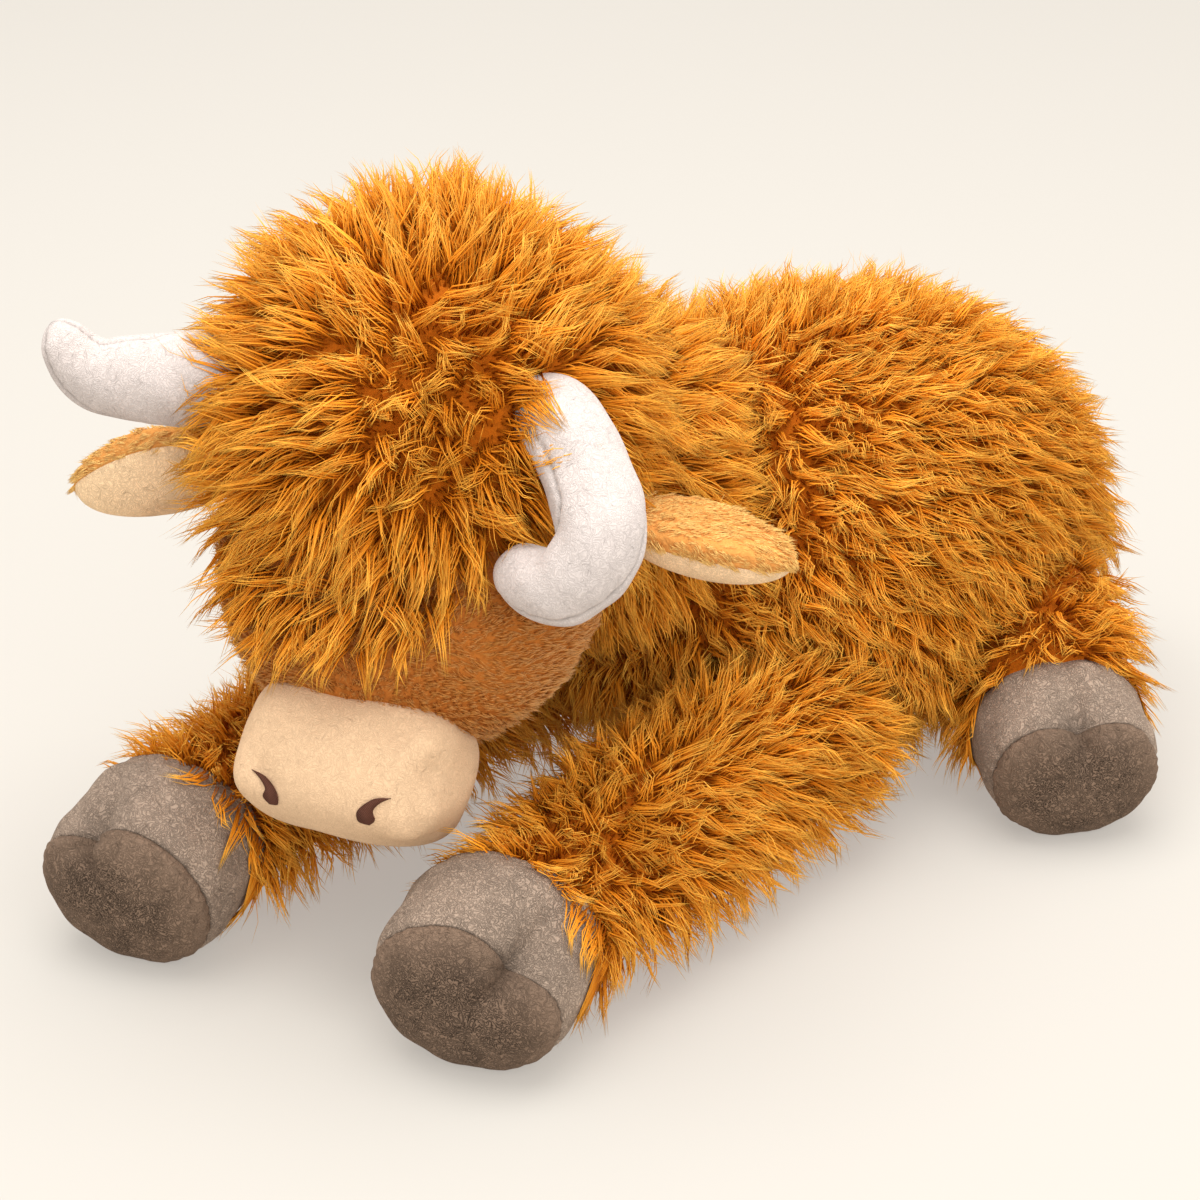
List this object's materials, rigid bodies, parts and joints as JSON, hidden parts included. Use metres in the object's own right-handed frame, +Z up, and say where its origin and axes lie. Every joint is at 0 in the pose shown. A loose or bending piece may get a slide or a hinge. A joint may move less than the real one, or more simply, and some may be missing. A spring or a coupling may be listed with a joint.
{
  "type": "plush cow",
  "caption": "Long-haired highland cow soft toy lying on its belly, head bowed between its forelegs, with stuffed horns and hooves.",
  "frame": {"origin": "on the floor, at the middle of the belly's flat rest face", "axes": "+Z up; the nose points along -Y and the cow's left is +X"},
  "size_m": [0.4442, 0.7069, 0.4079],
  "materials": {
    "shag_fur": "long amber pile in pointed locks",
    "face_fur": "clipped tan pile",
    "cream_minky": "short cream pile",
    "white_minky": "short white pile",
    "hoof_minky": "short taupe pile",
    "sole_minky": "short dark taupe pile",
    "thread": "satin stitch",
    "stuffing": "loose polyester fibre"
  },
  "bodies": {
    "trunk": {"body_cover": "shag_fur", "body_filling": "stuffing"},
    "head": {"head_cover": "shag_fur", "face_panel": "face_fur", "muzzle_panel": "cream_minky", "head_filling": "stuffing", "nostril_left": "thread", "nostril_right": "thread", "horn_left_cover": "white_minky", "horn_left_filling": "stuffing", "horn_right_cover": "white_minky", "horn_right_filling": "stuffing"},
    "ear_left": {"ear_left_outer": "face_fur", "ear_left_inner": "cream_minky"},
    "ear_right": {"ear_right_outer": "face_fur", "ear_right_inner": "cream_minky"},
    "foreleg_left": {"foreleg_left_sleeve": "shag_fur", "foreleg_left_hoof_upper": "hoof_minky", "foreleg_left_hoof_sole": "sole_minky", "foreleg_left_filling": "stuffing"},
    "foreleg_right": {"foreleg_right_sleeve": "shag_fur", "foreleg_right_hoof_upper": "hoof_minky", "foreleg_right_hoof_sole": "sole_minky", "foreleg_right_filling": "stuffing"},
    "hind_leg_left": {"hind_leg_left_sleeve": "shag_fur", "hind_leg_left_hoof_upper": "hoof_minky", "hind_leg_left_hoof_sole": "sole_minky", "hind_leg_left_filling": "stuffing"},
    "hind_leg_right": {"hind_leg_right_sleeve": "shag_fur", "hind_leg_right_hoof_upper": "hoof_minky", "hind_leg_right_hoof_sole": "sole_minky", "hind_leg_right_filling": "stuffing"},
    "tail": {"tail_cord": "face_fur", "tail_tuft": "shag_fur"}
  },
  "joints": [
    {"name": "neck_nod", "type": "hinge", "parent": "trunk", "child": "head", "pos_m": [-0.032, -0.178, 0.222], "axis": [-0.9478, -0.319, 0], "range_deg": [0, 25]},
    {"name": "ear_left_flop", "type": "hinge", "parent": "head", "child": "ear_left", "pos_m": [0.08077, -0.2637, 0.25234], "axis": [-0.5634, 0.8021, 0.1983], "range_deg": [-20, 20], "stiffness_Nm_per_rad": 0.15},
    {"name": "ear_right_flop", "type": "hinge", "parent": "head", "child": "ear_right", "pos_m": [-0.12394, -0.3326, 0.25234], "axis": [0.2583, -0.7675, 0.5867], "range_deg": [-20, 20], "stiffness_Nm_per_rad": 0.15},
    {"name": "foreleg_left_splay", "type": "hinge", "parent": "trunk", "child": "foreleg_left", "pos_m": [0.076, -0.11, 0.0655], "axis": [0, 0, 1], "range_deg": [0, 20]},
    {"name": "foreleg_right_splay", "type": "hinge", "parent": "trunk", "child": "foreleg_right", "pos_m": [-0.114, -0.151, 0.0655], "axis": [0, 0, 1], "range_deg": [-20, 0]},
    {"name": "hind_leg_left_splay", "type": "hinge", "parent": "trunk", "child": "hind_leg_left", "pos_m": [0.104, 0.068, 0.0735], "axis": [0, 0, 1], "range_deg": [-6, 18]},
    {"name": "hind_leg_right_splay", "type": "hinge", "parent": "trunk", "child": "hind_leg_right", "pos_m": [-0.066, 0.114, 0.0735], "axis": [0, 0, 1], "range_deg": [-18, 6]},
    {"name": "tail_swing", "type": "hinge", "parent": "trunk", "child": "tail", "pos_m": [0.05062, 0.17388, 0.17], "axis": [0.2689, 0.9632, 0], "range_deg": [-20, 20]}
  ]
}
